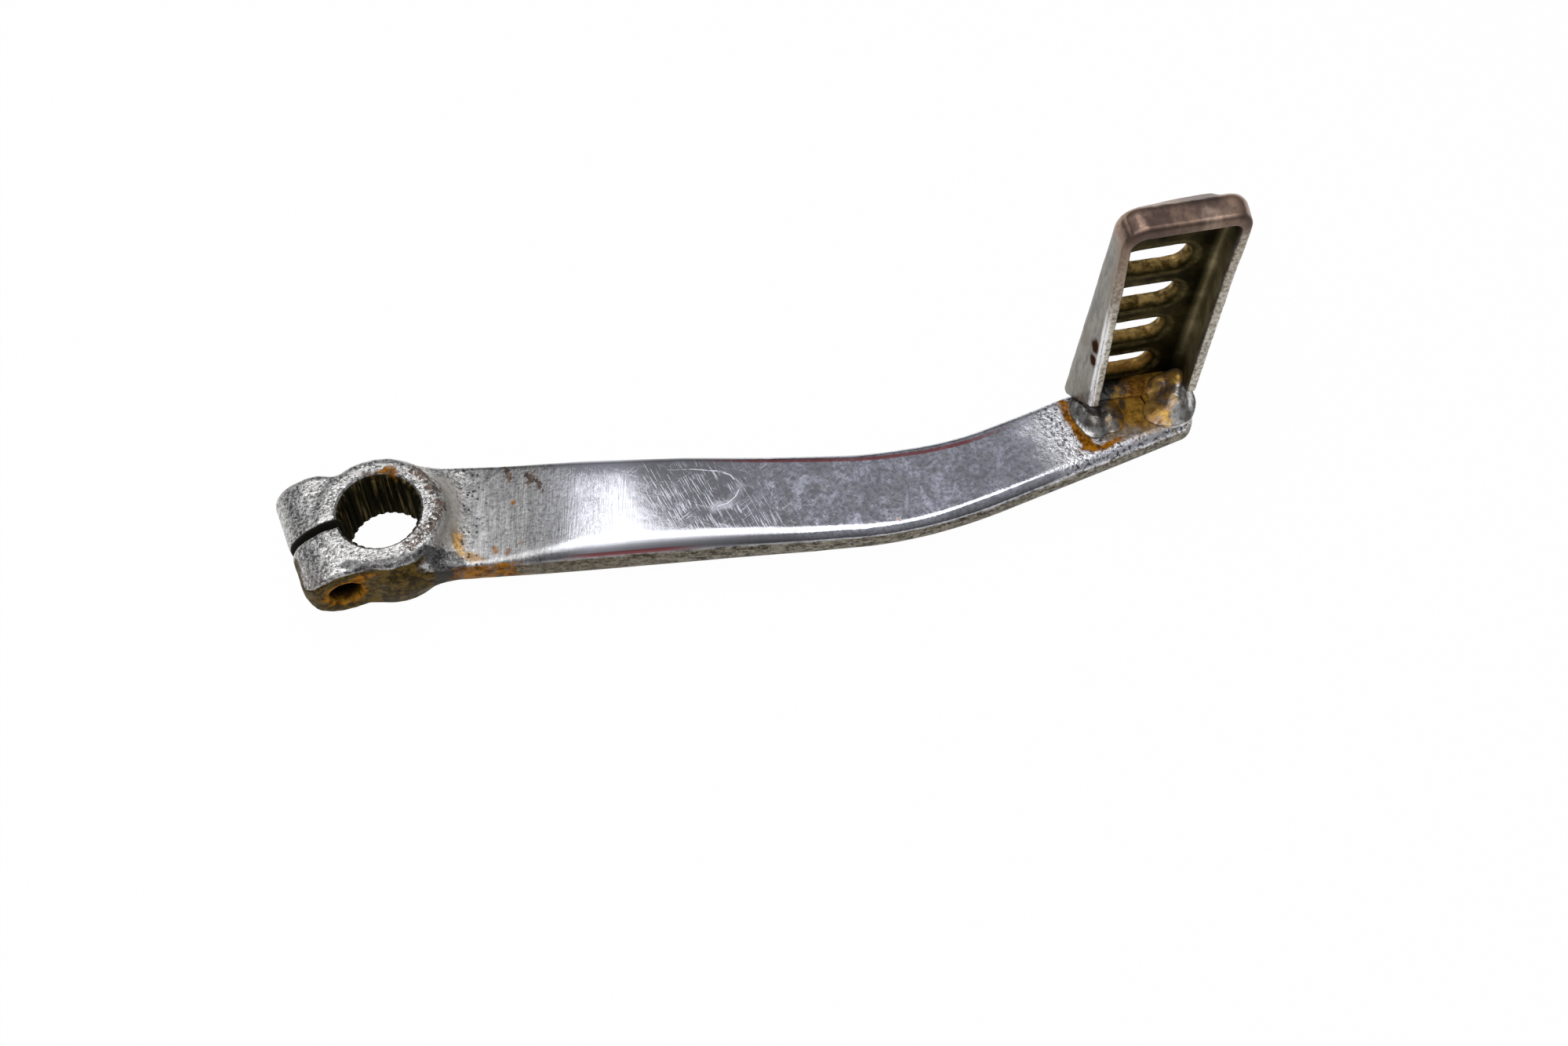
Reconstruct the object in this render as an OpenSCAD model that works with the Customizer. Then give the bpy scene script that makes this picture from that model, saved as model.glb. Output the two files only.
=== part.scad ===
// Rear brake pedal: a forged clamp arm with a pressed foot pad welded across its tip.
// Millimetres. The origin is on the shaft axis at the inboard face of the boss,
// +X runs along the blade and +Z points outboard, the way the pad sticks out.

/* [Clamp boss] */
// Height of the boss along the shaft
boss_h = 15; // [12:0.5:20]
// Outer radius of the boss
boss_r = 12.7; // [12.4:0.1:15]
// Bevel on the rims of the boss
boss_bevel = 1.2; // [0.5:0.1:1.8]
// Radius at the tips of the bore's teeth
tooth_tip_r = 7.6; // [6:0.1:8]
// Height of the bore's teeth
tooth_h = 0.6; // [0.3:0.05:0.9]
// Number of teeth in the bore
teeth = 30; // [20:1:36]
// Width of the chamfer at the outboard mouth of the bore
bore_chamfer = 1.1; // [0.5:0.1:1.3]

/* [Clamp ears] */
// Direction of the ears around the shaft axis
ear_angle = 196; // [185:1:205]
// Distance from the shaft axis to the pinch bolt hole
pinch_reach = 10.8; // [10.6:0.1:11]
// Metal between the pinch bolt hole and the ears' round end
ear_wall = 4.7; // [4:0.1:5.5]
// Radius of the pinch bolt hole
pinch_r = 3.3; // [3.2:0.05:3.6]
// Chamfer at the mouths of the pinch bolt hole
pinch_chamfer = 0.6; // [0.2:0.1:1]
// Half width across both ears
ear_half = 12.2; // [11:0.1:12.3]
// Radius of the ears' corners seen from above
ear_corner = 3.6; // [1:0.1:4]
// Width of the slit between the ears
slit_w = 1.8; // [1:0.1:3]

/* [Blade] */
// Half width of the blade where it leaves the boss
root_half = 12.1; // [10:0.1:12.2]
// Half width of the blade at its tip
tip_half = 8.8; // [7:0.1:10]
// Greatest thickness of the blade
blade_t = 8; // [6:0.1:10]
// Thickness of the blade at its tip
tip_t = 6; // [5:0.1:8]
// How far the blade's middle lies outboard of the boss's middle
blade_lift = 0.5; // [0:0.1:1]
// How far the outboard face dips beside the boss
neck_dip = 1.8; // [0.5:0.1:2.5]
// Length of the straight stretch, from the shaft axis
straight_l = 93; // [80:1:120]
// Radius of the bend along the centreline
bend_r = 88; // [70:1:140]
// Angle through which the blade bends
bend_angle = 21; // [10:1:30]
// Length of the straight stretch past the bend
tip_l = 41.8; // [38:0.1:48]
// Rolled radius on the outboard edges of the blade
roll_r = 2.8; // [1.5:0.1:3.4]
// Radius on the inboard edges of the blade
back_r = 2; // [0.8:0.1:2.4]

/* [Pad] */
// Thickness of the pad's sheet
sheet_t = 2; // [1.2:0.1:2.5]
// Height of the pad above the blade
pad_h = 58; // [52:0.5:70]
// Half width of the tread at its foot
tread_foot_half = 13.5; // [12:0.1:15]
// Half width of the tread at its free end
tread_top_half = 12.5; // [11:0.1:14]
// Half width across the side walls' rims at the foot
rim_foot_half = 10.9; // [10:0.1:14]
// Half width across the side walls' rims at the free end
rim_top_half = 12.4; // [11:0.1:14]
// Depth of the side walls at the foot
depth_foot = 11.7; // [9:0.1:14]
// Depth of the walls at the free end
depth_top = 7; // [5:0.1:10]
// Corner radius of the free end
pad_corner = 6.5; // [4:0.1:8]
// Outer radius of the folds between the tread and its walls
fold_r = 3; // [2.2:0.1:4]
// Sideways lean of the pad over its height
pad_lean = 2.9; // [0:0.1:4]
// Turn of the pad against the blade's straight stretch
pad_turn = 7; // [0:1:15]
// How far the walls' feet are cut up at their rims
foot_cut = 7; // [4:0.1:9]

/* [Slots] */
// Number of slots in the tread
slot_count = 4; // [3:1:4]
// Height of the first slot's middle above the blade
slot_first = 6.3; // [6:0.1:9]
// Distance from slot to slot
slot_pitch = 11.6; // [11.4:0.1:12.4]
// Length of a slot between its outermost points
slot_l = 13.2; // [10:0.1:14]
// Width of a slot
slot_w = 5.8; // [4.6:0.1:6]
// How far the tread is pressed out around a slot
slot_press = 1.3; // [0.8:0.1:1.8]
// Width of the pressed slope above and below a slot
slope_side = 1.3; // [0.6:0.1:1.4]
// Width of the pressed slope at a slot's ends
slope_end = 2.8; // [1.5:0.1:3]

/* [Welds] */
// Radius of the beads at the walls' feet
bead_r = 3.1; // [2:0.1:3.6]
// Radius of the run along the tread's foot
run_r = 1.7; // [1:0.1:2.2]

/* [Hidden] */
e = 0.01;
over = 1;

// Clamp boss
tooth_root_r = tooth_tip_r + tooth_h;
// Share of the bore's wall that the grooves between the teeth take away
groove_share = 0.58;
groove_w = groove_share * 2 * PI * tooth_tip_r / teeth;
groove_root_w = 0.4 * groove_w;
mid_z = boss_h / 2;
ear_bevel = 0.8 * boss_bevel;
// The ears' faces lie this far inside the boss's faces
ear_inset = 0.15;
ear_mid = mid_z - ear_inset;
ear_reach = pinch_reach + ear_wall + pinch_r;
// Where the ear block's flank leaves the round of the boss
ear_start = 0.45 * boss_r;
round_n = 64;

// Blade
blade_z = mid_z + blade_lift;
bend_len = bend_r * bend_angle * PI / 180;
bend_end = straight_l + bend_len;
blade_end = bend_end + tip_l;
loft_start = 3;
neck_end = boss_r + 9;
swell_end = boss_r + 33;
web_r = 4.5;
// The blade's end is cut square to the pad
end_turn = pad_turn - bend_angle;
end_blend = 12;
end_round = 3;
station_n = 44;
corner_n = 4;

// Pad: across (w) along its width, out (n) towards the foot's side, up (z)
pad_z = blade_z + tip_t / 2;
// The pad's reference line stands on the blade this far before its end
pad_back = 8.1;
// Distance from the blade's centreline to the inner face of the tread
tread_off = 6.1;
foot_shift = -2.2;
level_n = 4;
corner_step = 15;
// Where the slots lie across the tread
slot_shift = -2.4;
slot_lean = 0.077;
// Width of the raised rim around a slot on the foot's side
rim_w = 0.6;
rib_out = 1.6;
rib_w0 = -9;
rib_w1 = 7.6;

function mix(a, b, t) = a + (b - a) * t;
function clamp01(t) = max(0, min(1, t));
function smooth(t) = let (u = clamp01(t)) u * u * (3 - 2 * u);

// Centreline of the blade at a distance s from the shaft axis
function turn_at(s) = clamp01((s - straight_l) / bend_len) * bend_angle;
function line_at(s) =
    s <= straight_l ? [s, 0] :
    s <= bend_end ? [straight_l + bend_r * sin(turn_at(s)), bend_r * (1 - cos(turn_at(s)))] :
    [straight_l + bend_r * sin(bend_angle) + (s - bend_end) * cos(bend_angle),
     bend_r * (1 - cos(bend_angle)) + (s - bend_end) * sin(bend_angle)];

// Size of the blade's section at a distance s
function half_at(s) = s < straight_l ?
    let (u = clamp01((s - boss_r) / (straight_l - boss_r)))
        mix(root_half, 1.09 * tip_half, (u + smooth(u)) / 2)
    : mix(1.09 * tip_half, tip_half, smooth((s - straight_l) / bend_len));
thin_len = straight_l - swell_end + bend_len / 2;
function thick_at(s) = mix(blade_t, tip_t, smooth((s - swell_end) / thin_len));
function dip_at(s) = neck_dip * (1 - smooth((s - neck_end) / (swell_end - neck_end)));
function top_at(s) = blade_z + thick_at(s) / 2 - dip_at(s);
function bottom_at(s) = blade_z - thick_at(s) / 2;
function roll_at(s) =
    let (grow = smooth((s - neck_end) / (swell_end - neck_end)),
         fade = smooth((s - swell_end) / (bend_end - swell_end)))
        mix(mix(1, roll_r, grow), 0.7 * roll_r, fade);
function left_at(s) = max(0, blade_end - s);
// Narrowing that rounds the corners of the blade's end
function trim_at(s) =
    let (d = end_round - min(end_round, left_at(s)))
        end_round - sqrt(end_round * end_round - d * d);
function skew_at(s) = end_turn * smooth(1 - left_at(s) / end_blend);

// One quarter of a section's rounded corner
function quarter(cx, cz, r, a0) = [
    for (i = [0:corner_n])
        let (a = a0 + 90 * i / corner_n)
            [cx + r * cos(a), cz + r * sin(a)]];
function section(half, z0, z1, rb, rt) = concat(
    quarter(half - rb, z0 + rb, rb, -90),
    quarter(half - rt, z1 - rt, rt, 0),
    quarter(-half + rt, z1 - rt, rt, 90),
    quarter(-half + rb, z0 + rb, rb, 180));
function station(s) =
    let (p = line_at(s), a = turn_at(s) + skew_at(s), half = half_at(s) - trim_at(s))
        [for (q = section(half, bottom_at(s), top_at(s), back_r, roll_at(s)))
            [p[0] + q[0] * sin(a), p[1] - q[0] * cos(a), q[1]]];
// Stations lie closer together where the end is rounded
function station_s(i) = let (body = station_n - 6)
    i <= body ? mix(loft_start, blade_end - end_round, i / body)
    : blade_end - end_round * (1 - sin(90 * (i - body) / 6.4));

// Skin over rings of equally many points, closed by a fan of triangles at its two ends
function sum_of(ring, i) = i == 0 ? ring[0] : ring[i] + sum_of(ring, i - 1);
function middle_of(ring) = sum_of(ring, len(ring) - 1) / len(ring);
module skin(rings) {
    n = len(rings[0]);
    last = len(rings) - 1;
    points = concat([for (ring = rings) for (p = ring) p], [middle_of(rings[0]), middle_of(rings[last])]);
    start = (last + 1) * n;
    sides = [for (k = [0:last - 1]) for (i = [0:n - 1]) let (j = (i + 1) % n)
        each [[k * n + i, k * n + j, (k + 1) * n + j], [k * n + i, (k + 1) * n + j, (k + 1) * n + i]]];
    caps = [for (i = [0:n - 1]) let (j = (i + 1) % n)
        each [[j, i, start], [last * n + i, last * n + j, start + 1]]];
    polyhedron(points, concat(sides, caps), convexity = 6);
}

module blade() {
    skin([for (i = [0:station_n]) station(station_s(i))]);
}

// Cylinder with both rims bevelled
module boss_round() {
    b = boss_bevel;
    rotate_extrude($fn = round_n)
        polygon([[0, 0], [boss_r - b, 0], [boss_r - 0.3 * b, 0.3 * b], [boss_r, b],
                 [boss_r, boss_h - b], [boss_r - 0.3 * b, boss_h - 0.3 * b], [boss_r - b, boss_h],
                 [0, boss_h]]);
}

// Hollow curve from the boss's rim down to the blade
module web_step() {
    low = top_at(neck_end) - 0.4;
    high = boss_h - boss_bevel;
    intersection() {
        rotate_extrude($fn = round_n)
            polygon(concat([[boss_r - 2, mid_z], [boss_r - 2, high]],
                           [for (a = [0:18:90])
                               [boss_r - 0.4 + web_r * (1 - cos(a)), mix(low, high, 1 - sin(a))]],
                           [[boss_r - 0.4 + web_r, mid_z]]));
        translate([0, -root_half + 2, 0])
            cube([2 * boss_r, 2 * root_half - 4, boss_h]);
    }
}

// Seen along the pinch bolt, the ears end in half an ellipse
module ear_profile() {
    reach = ear_reach - pinch_reach;
    polygon(concat([[ear_start, mid_z - ear_mid]],
                   [for (a = [-90:10:90]) [pinch_reach + reach * cos(a), mid_z + ear_mid * sin(a)]],
                   [[ear_start, mid_z + ear_mid]]));
}

// Seen from above, their corners are rounded
module ear_plan() {
    corner_s = ear_reach - ear_corner + e;
    corner_b = ear_half - ear_corner;
    polygon(concat([[ear_start - over, -ear_half]],
                   [for (a = [-90:15:0])
                       [corner_s + ear_corner * cos(a), -corner_b + ear_corner * sin(a)]],
                   [for (a = [0:15:90])
                       [corner_s + ear_corner * cos(a), corner_b + ear_corner * sin(a)]],
                   [[ear_start - over, ear_half]]));
}

// Seen from their ends, their long edges are bevelled
module ear_section() {
    wide = ear_half - ear_bevel;
    low = ear_mid - ear_bevel;
    polygon([[-ear_half, -low], [-wide, -ear_mid], [wide, -ear_mid], [ear_half, -low],
             [ear_half, low], [wide, ear_mid], [-wide, ear_mid], [-ear_half, low]]);
}

// Both ears as one block, which the slit parts
module ears() {
    rotate(ear_angle)
        intersection() {
            rotate([90, 0, 0])
                linear_extrude(height = 2 * ear_half + 2 * over, center = true)
                    ear_profile();
            linear_extrude(height = boss_h)
                ear_plan();
            translate([0, 0, mid_z])
                rotate([90, 0, 90])
                    linear_extrude(height = ear_reach + over)
                        ear_section();
        }
}

module bore() {
    translate([0, 0, -over])
        cylinder(r = tooth_tip_r, h = boss_h + 2 * over, $fn = round_n);
    for (i = [0:teeth - 1])
        rotate(360 * i / teeth)
            translate([0, 0, -over])
                linear_extrude(height = boss_h + 2 * over)
                    polygon([[tooth_tip_r - 0.5, -groove_w / 2], [tooth_root_r, -groove_root_w / 2],
                             [tooth_root_r, groove_root_w / 2], [tooth_tip_r - 0.5, groove_w / 2]]);
    translate([0, 0, boss_h - bore_chamfer - e])
        cylinder(r1 = tooth_tip_r - e, r2 = tooth_tip_r + bore_chamfer + e,
                 h = bore_chamfer + 2 * e, $fn = round_n);
}

module slit() {
    rotate(ear_angle)
        translate([0, -slit_w / 2, -over])
            cube([ear_reach + over, slit_w, boss_h + 2 * over]);
}

module pinch_hole() {
    rotate(ear_angle)
        translate([pinch_reach, 0, mid_z])
            rotate([90, 0, 0]) {
                cylinder(r = pinch_r, h = 2 * ear_half + 2 * over, center = true, $fn = round_n);
                for (side = [0, 1])
                    mirror([0, 0, side])
                        translate([0, 0, ear_half - pinch_chamfer])
                            cylinder(r1 = pinch_r - e, r2 = pinch_r + pinch_chamfer + e,
                                     h = pinch_chamfer + 2 * e, $fn = round_n);
            }
}

module arm() {
    color("silver")
        difference() {
            union() {
                boss_round();
                ears();
                blade();
                web_step();
            }
            bore();
            slit();
            pinch_hole();
        }
}

// Pad, drawn in its own directions and then stood on the blade
pad_line = line_at(blade_end - pad_back);
pad_x = pad_line[0] - tread_off * sin(bend_angle);
pad_y = pad_line[1] + tread_off * cos(bend_angle);
module on_blade() {
    translate([pad_x, pad_y, pad_z])
        rotate(pad_turn)
            children();
}

function depth_at(z) = mix(depth_foot, depth_top, z / pad_h);
function middle_at(z) = foot_shift + pad_lean * z / pad_h;
function tread_half(z) = mix(tread_foot_half, tread_top_half, z / pad_h);
function rim_half(z) = mix(rim_foot_half, rim_top_half, z / pad_h);
function half_pad(z, t) = mix(tread_half(z), rim_half(z), t);
// Outline of the tray at a share t of its depth, drawn in by d, from one foot over the top to the other
function pad_outline(t, d, z_low) =
    let (r = pad_corner - d, zc = pad_h - pad_corner,
         rise = concat([z_low, pad_h * 0.25, pad_h * 0.5, pad_h * 0.7],
                       [for (a = [0:corner_step:90]) zc + r * sin(a)]),
         inset = concat([d, d, d, d], [for (a = [0:corner_step:90]) d + r * (1 - cos(a))]),
         last = len(rise) - 1)
        concat([for (i = [0:last]) [inset[i] - half_pad(rise[i], t), rise[i]]],
               [for (i = [last:-1:0]) [half_pad(rise[i], t) - inset[i], rise[i]]]);
// The same outline in space: out is how far it lies out from the tread's inner face
function pad_ring(t, d, z_low, out, past) = [
    for (q = pad_outline(t, d, z_low))
        [q[0] + middle_at(q[1]), out == undef ? sheet_t - depth_at(q[1]) - past : out, q[1]]];

// Closed block with a rounded fold: the tray is the difference of two of these
module pad_block(d, r, face, past, z_low) {
    skin(concat(
        [for (k = [0:level_n]) let (a = 90 * k / level_n)
            pad_ring(0, d + r * (1 - sin(a)), z_low, face - r * (1 - cos(a)), 0)],
        [pad_ring(1, d, z_low, undef, past)]));
}

// Frustum with rounded ends for the pressed rims of the slots
function stadium(l, w, y) = [
    for (end = [1, -1])
        for (a = [-90:22.5:90])
            end * [(l - w) / 2 + w / 2 * cos(a), 0, w / 2 * sin(a)] + [0, y, 0]];
module slot_form(side0, end0, y0, side1, end1, y1) {
    skin([stadium(slot_l + 2 * end0, slot_w + 2 * side0, y0),
          stadium(slot_l + 2 * end1, slot_w + 2 * side1, y1)]);
}
module at_slots() {
    for (i = [0:slot_count - 1])
        let (z = slot_first + i * slot_pitch)
            translate([slot_shift + foot_shift + slot_lean * z, 0, z])
                children();
}

module pad_tray() {
    difference() {
        pad_block(0, fold_r, sheet_t, 0, 0);
        pad_block(sheet_t, fold_r - sheet_t, 0, over, -over);
    }
}

// Cut that lifts the walls' feet clear of the blade towards their rims
module foot_wedge() {
    rotate([90, 0, 90])
        linear_extrude(height = 4 * tread_foot_half, center = true)
            polygon([[sheet_t - fold_r, -over], [sheet_t - fold_r, 0],
                     [sheet_t - depth_foot, foot_cut], [sheet_t - depth_foot - 3, foot_cut + 2.5],
                     [sheet_t - depth_foot - 3, -over]]);
}

module end_rib() {
    translate([(rib_w0 + rib_w1) / 2 + middle_at(pad_h), sheet_t + 0.1, pad_h - 3.7])
        rotate([0, 90, 0])
            cylinder(r = rib_out, h = rib_w1 - rib_w0, center = true, $fn = 24);
}

module pad() {
    color("gray")
        on_blade()
            difference() {
                union() {
                    pad_tray();
                    end_rib();
                    at_slots()
                        slot_form(slope_side + rim_w, slope_end + rim_w, sheet_t - 0.6,
                                  rim_w, rim_w, sheet_t + slot_press);
                }
                at_slots()
                    slot_form(slope_side, slope_end, -e, 0.1, 0.1, slot_press);
                at_slots()
                    slot_form(0, 0, -over, 0, 0, sheet_t + slot_press + over);
                foot_wedge();
            }
}

// Weld beads: lumps under the walls' cut feet, and a run along the foot of the tread
module wall_bead(side) {
    w = middle_at(0) + side * (mix(tread_foot_half, rim_foot_half, 0.5) - sheet_t / 2);
    difference() {
        on_blade()
            hull() {
                translate([w + side * 0.2, sheet_t - fold_r - 1.5, 0.4])
                    sphere(r = bead_r * 0.75, $fn = 24);
                translate([w - side * 0.6, sheet_t - 0.8 * depth_foot, 0.8])
                    sphere(r = bead_r, $fn = 24);
            }
        arm();
        pad();
    }
}

module left_weld() {
    color("lightgray")
        wall_bead(-1);
}

module right_weld() {
    color("lightgray")
        wall_bead(1);
}

module foot_weld() {
    color("tan")
        difference() {
            on_blade()
                translate([middle_at(0), 0, 0])
                    rotate([0, 90, 0])
                        cylinder(r = run_r, h = 1.2 * tread_foot_half, center = true, $fn = 24);
            arm();
            pad();
        }
}

arm();
pad();
left_weld();
right_weld();
foot_weld();
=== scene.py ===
"""Looks of the rear brake pedal: worn chrome over a rough forging, a stained pad and its weld lumps."""

import itertools
import math

import bpy
import numpy as np
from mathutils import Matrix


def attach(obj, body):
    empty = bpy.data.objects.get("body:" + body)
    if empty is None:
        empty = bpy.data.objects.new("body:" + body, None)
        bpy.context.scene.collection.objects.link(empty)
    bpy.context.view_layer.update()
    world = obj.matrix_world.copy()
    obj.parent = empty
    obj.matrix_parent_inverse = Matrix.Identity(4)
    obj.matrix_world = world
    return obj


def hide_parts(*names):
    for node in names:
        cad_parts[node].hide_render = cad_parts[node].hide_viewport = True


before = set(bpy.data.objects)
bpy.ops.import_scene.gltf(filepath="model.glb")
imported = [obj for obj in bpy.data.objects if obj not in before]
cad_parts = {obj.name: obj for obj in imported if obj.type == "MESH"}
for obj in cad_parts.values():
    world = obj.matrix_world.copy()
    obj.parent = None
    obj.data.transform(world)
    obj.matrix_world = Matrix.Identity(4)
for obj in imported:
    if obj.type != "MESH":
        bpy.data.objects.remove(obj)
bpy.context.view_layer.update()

MM = 0.001

ARM_CELL, PAD_CELL, WELD_CELL = ((0.43, 0.32, 0.24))

# Sizes of the boss and its ears, in millimetres
BOSS_H, BOSS_R = 15.0, 12.7
MID = BOSS_H / 2
BOSS_TOP_EDGE, BOSS_LOW_EDGE = 1.7, 0.9
EAR_A = math.radians(196)
EAR_END, EAR_HALF, EAR_OFF = 19.0, 12.33, 0.43
PINCH, BOLT_R = 10.8, 3.3
SLIT_HALF, SLIT_FROM = 0.85, 4
TEETH, TOOTH_TIP, TOOTH_ROOT = 30, 7.6, 8.2
# Heights in the bore, each with the least radius there
BORE_LEVELS = (
    (-1, 8.15), (0.1, 8.15), (0.7, TOOTH_TIP), (13.4, TOOTH_TIP), (14.55, 8.3), (BOSS_H, 8.75), (16, 9.75),
)

# Sizes of the blade
STRAIGHT, BEND_R, BEND = 93.0, 88.0, math.radians(21)
BEND_END = STRAIGHT + BEND_R * BEND
HALF_ROOT, HALF_BEND, HALF_TIP = 12.1, 9.6, 8.8
BLADE_Z, THICK_ROOT, THICK_TIP, ROOT_DIP = 8, 8, 6, 1.8
LOWER_ROLL = 1.9
FILLET = 5.6
# How far each edge stands out from the even taper, by distance along the blade
NEAR_SWELL = (
    (20, -0.75), (34, -0.5), (50, -0.4), (68, -0.2), (85, 0.1), (98, -0.1), (124, -0.5), (150, -0.3),
)
FAR_SWELL = (
    (20, -0.05), (36, -0.05), (60, 0.4), (76, 0.2), (96, 0.2), (106, 0.4), (122, 0.15), (134, -0.05),
)

# Place and sizes of the pad
PAD_X, PAD_Y, PAD_Z = 153.8, 23.6, 11
TURN = math.radians(7)
PAD_H, SHEET, THICKER_TOP = 58.0, 2.0, 0.9
WALL_FOOT, WALL_TOP = 11.7, 7.0
TREAD_FOOT, TREAD_TOP = 13.5, 12.5
RIM_FOOT, RIM_TOP = 10.9, 12.4
SLOTS, SLOT_FIRST, SLOT_PITCH = 4, 6.3, 11.6
SLOT_L, SLOT_W, SLOT_GROWS = 12.5, 5.8, 0.25
SLOT_MIDDLE, SLOT_LEAN = -4.95, 0.077
SLOT_PRESS = 1.35

# Height of the welds' skirts, just over the blade's face
SKIRT_Z = 11.04

# Patches of wear: strength, x, y, half length, half width, turn in degrees, seed and raggedness
FRECKLES = (
    (1.0, 25.9, 2.7, 0.6, 0.6, 0, 77),
    (0.75, 22.4, -7.6, 0.8, 1.1, 30, 78),
    (0.8, 24.9, -8.3, 0.7, 1.2, -30, 79),
    (0.7, 27.6, -6.8, 0.5, 0.9, 0, 80),
    (0.7, 102.2, -6.4, 0.5, 0.8, 40, 81),
)
SEAM_SPOTS = ((0.85, 143.4, 7.6, 3.4, 1.1, 5, 83, 0.6), (0.8, 147.6, 9.0, 2.6, 0.8, 25, 84, 0.8))
GOLD_SPOTS = ((0.8, 14.9, -5.0, 1.3, 3.4, 12, 75, 0.6), (0.7, 17.4, -8.8, 2.8, 0.9, -15, 76, 0.6))
FLAKES = (
    (1.0, 25.0, 9.2, 0.9, 2.4, 20, 87, 0.6),
    (1.0, 29.6, 8.0, 1.5, 1.6, 40, 88, 0.9),
    (1.0, 31.2, 5.6, 0.9, 1.9, 25, 95, 0.7),
)
FLOOR_STAIN = (1.0, 152.4, 16.8, 12.6, 7.0, 14, 85, 0.3)
# Lines of wear, and the rim line of painted shade, as places on the plan
SEAM_LINE = ((138.2, 18.4), (139.2, 14.8), (140.4, 11.2), (142.6, 8.0))
BROWN_ARC = ((6.4, 8.6), (8.8, 7.0), (10.8, 4.4), (11.8, 1.0), (11.3, -2.4), (9.2, -5.2), (6.6, -8.0))
SHADED_RIM = ((-6.0, -11.6), (-1.0, -12.0), (4.0, -11.2), (8.6, -9.4), (12.6, -8.6), (15.5, -9.6))
PALE_ARC = ((11.6, 7.4), (13.3, 3.6), (13.8, -0.6), (12.6, -5.2))
SCRATCH_RUN = ((57.0, 7.4), (62.0, 7.3), (67.0, 6.6), (69.4, 5.6))
SCRATCH_HOOK = ((71.2, 2.8), (70.2, 0.6), (68.5, -0.9), (65.5, -1.8))
FLOOR_CRACK = ((154.1, 21.8), (154.0, 19.6), (154.8, 17.4), (156.0, 15.2))
# How far the painted red reflection lies inside the far edge, by distance along the blade
RED_REFLECTION_INSET = ((60, 1.4), (85, 1.7), (110, 2.1), (130, 2.1))
# Height over which a patch lies on an upper face
ON_TOP = 9
# A line is stored as its distance around 0.5, so much for each millimetre
PER_MM = 0.1


# Shapes as signed distances, in millimetres


def step(lo, hi, x):
    t = np.clip((x - lo) / (hi - lo), 0, 1)
    return t * t * (3 - 2 * t)


def mix(a, b, t):
    return a + (b - a) * t


def soft_min(a, b, k):
    h = np.clip(0.5 + 0.5 * (b - a) / k, 0, 1)
    return mix(b, a, h) - k * h * (1 - h)


def soft_max(a, b, k):
    return -soft_min(-a, -b, k)


def round_max(a, b, r):
    """Both a and b, with their shared edge rounded to radius r."""
    return np.minimum(np.maximum(a, b), -r) + np.hypot(np.maximum(a + r, 0), np.maximum(b + r, 0))


def between(s, places):
    """Value at s on the straight lines from place to place."""
    at, value = zip(*places)
    return np.interp(s, at, value)


def lattice(i, j, k, seed):
    n = (i * 374761393 + j * 668265263 + k * 1103515245 + seed * 144665) & 0x7FFFFFFF
    n = ((n ^ (n >> 13)) * 1274126177) & 0x7FFFFFFF
    return ((n ^ (n >> 16)) & 0xFFFF) / 32767.5 - 1


def noise(p, size, seed=0):
    """Smooth noise between -1 and 1 with lumps of about that size."""
    q = p / np.asarray(size, float)
    cell = np.floor(q).astype(np.int64)
    f = q - cell
    u = f * f * (3 - 2 * f)
    out = 0
    for d in itertools.product((0, 1), repeat=3):
        w = np.prod(np.where(d, u, 1 - u), axis=1)
        out = out + w * lattice(*(cell + d).T, seed)
    return out


def layered(p, size, seed=0, rounds=3):
    return sum(noise(p, np.asarray(size, float) / 2**i, seed + i) / 2**i for i in range(rounds)) / 1.6


# From a shape to its mesh


def sampled(form, low, cell, n):
    """Values of form on a grid, made slab by slab to save memory."""
    axes = [low[a] + cell * np.arange(n[a]) for a in range(3)]
    value = np.empty(n, np.float32)
    for slab in np.array_split(np.arange(n[0]), 12):
        points = np.stack(np.meshgrid(axes[0][slab], axes[1], axes[2], indexing="ij"), -1)
        value[slab] = form(points.reshape(-1, 3)).reshape(len(slab), n[1], n[2])
    return value


def crossed_cells(inside):
    """Cells with corners on both sides of the surface."""
    m = np.array(inside.shape) - 1
    corners = itertools.product((0, 1), repeat=3)
    count = sum(inside[a : m[0] + a, b : m[1] + b, c : m[2] + c].astype(np.int8) for a, b, c in corners)
    return np.argwhere((count > 0) & (count < 8))


def crossings(value, at):
    """Sum and number of the places where the surface crosses the edges of each cell."""
    total, hits = np.zeros((len(at), 3)), np.zeros(len(at))
    for axis in range(3):
        for side in itertools.product((0, 1), repeat=2):
            first = np.insert(side, axis, 0)
            last = np.insert(side, axis, 1)
            v0 = value[tuple((at + first).T)]
            v1 = value[tuple((at + last).T)]
            cross = (v0 < 0) != (v1 < 0)
            t = np.where(cross, v0 / np.where(cross, v0 - v1, 1), 0)
            point = at + first + t[:, None] * (last - first)
            total += np.where(cross[:, None], point, 0)
            hits += cross
    return total, hits


def pulled(form, verts, cell):
    """The vertices after three steps down the slope of form, none longer than half a cell."""
    probe = 0.02
    for _ in range(3):
        sides = [(form(verts + probe * d) - form(verts - probe * d)) / (2 * probe) for d in np.eye(3)]
        slope = np.stack(sides, -1)
        steep = np.maximum((slope**2).sum(1), 0.2)
        move = -(form(verts) / steep)[:, None] * slope
        length = np.linalg.norm(move, axis=1, keepdims=True)
        verts = verts + move * np.minimum(1, 0.5 * cell / np.maximum(length, 1e-9))
    return verts


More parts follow.
